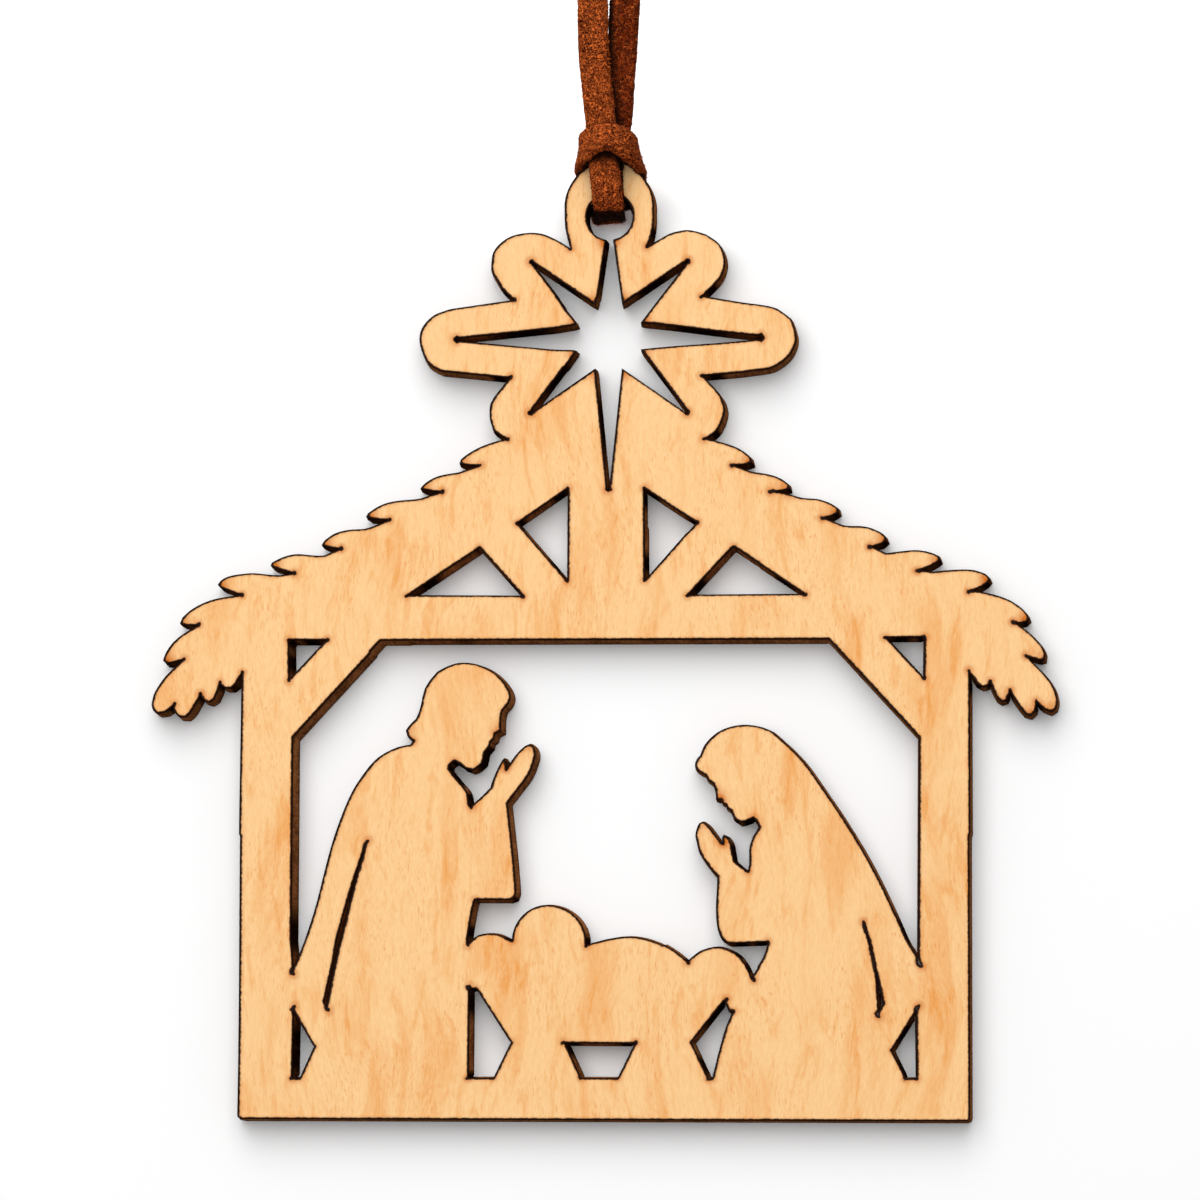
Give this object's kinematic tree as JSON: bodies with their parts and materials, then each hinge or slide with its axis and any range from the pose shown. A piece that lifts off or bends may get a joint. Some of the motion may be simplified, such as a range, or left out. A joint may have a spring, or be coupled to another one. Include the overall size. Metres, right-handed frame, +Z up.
{
  "type": "nativity scene ornament",
  "caption": "Flat cut-out stable with a thatched gable, kneeling couple and manger under an eight-rayed star, hung by a ring on a doubled flat lace.",
  "frame": {"origin": "the hanging point: inside the top of the lace loop, just under its end knot", "axes": "+Z up along the lace, -Y out of the front face, +X to the viewer's right"},
  "size_m": [0.0905, 0.009, 0.1805],
  "materials": {
    "face_birch": "bare sanded birch veneer",
    "core_birch": "scorched cut edge",
    "suede": "napped suede"
  },
  "bodies": {
    "loop": {"left_strand": "suede", "right_strand": "suede", "end_knot": "suede", "left_tail": "suede", "right_tail": "suede"},
    "neck": {"left_neck": "suede", "right_neck": "suede"},
    "hitch": {"hitch": "suede"},
    "plate": {"front_veneer": "face_birch", "core_ply": "core_birch", "back_veneer": "face_birch"}
  },
  "joints": [
    {"name": "turn", "type": "hinge", "parent": "loop", "child": "neck", "pos_m": [0, 0, -0.0604], "axis": [0, 0, 1], "range_deg": [-180, 180], "stiffness_Nm_per_rad": 0.000016},
    {"name": "tilt", "type": "hinge", "parent": "neck", "child": "hitch", "pos_m": [0, 0, -0.0625], "axis": [1, 0, 0], "range_deg": [-45, 45], "deforming": ["left_neck", "right_neck"]},
    {"name": "sway", "type": "hinge", "parent": "hitch", "child": "plate", "pos_m": [0, 0, -0.074], "axis": [0, 1, 0], "range_deg": [-60, 60]}
  ]
}
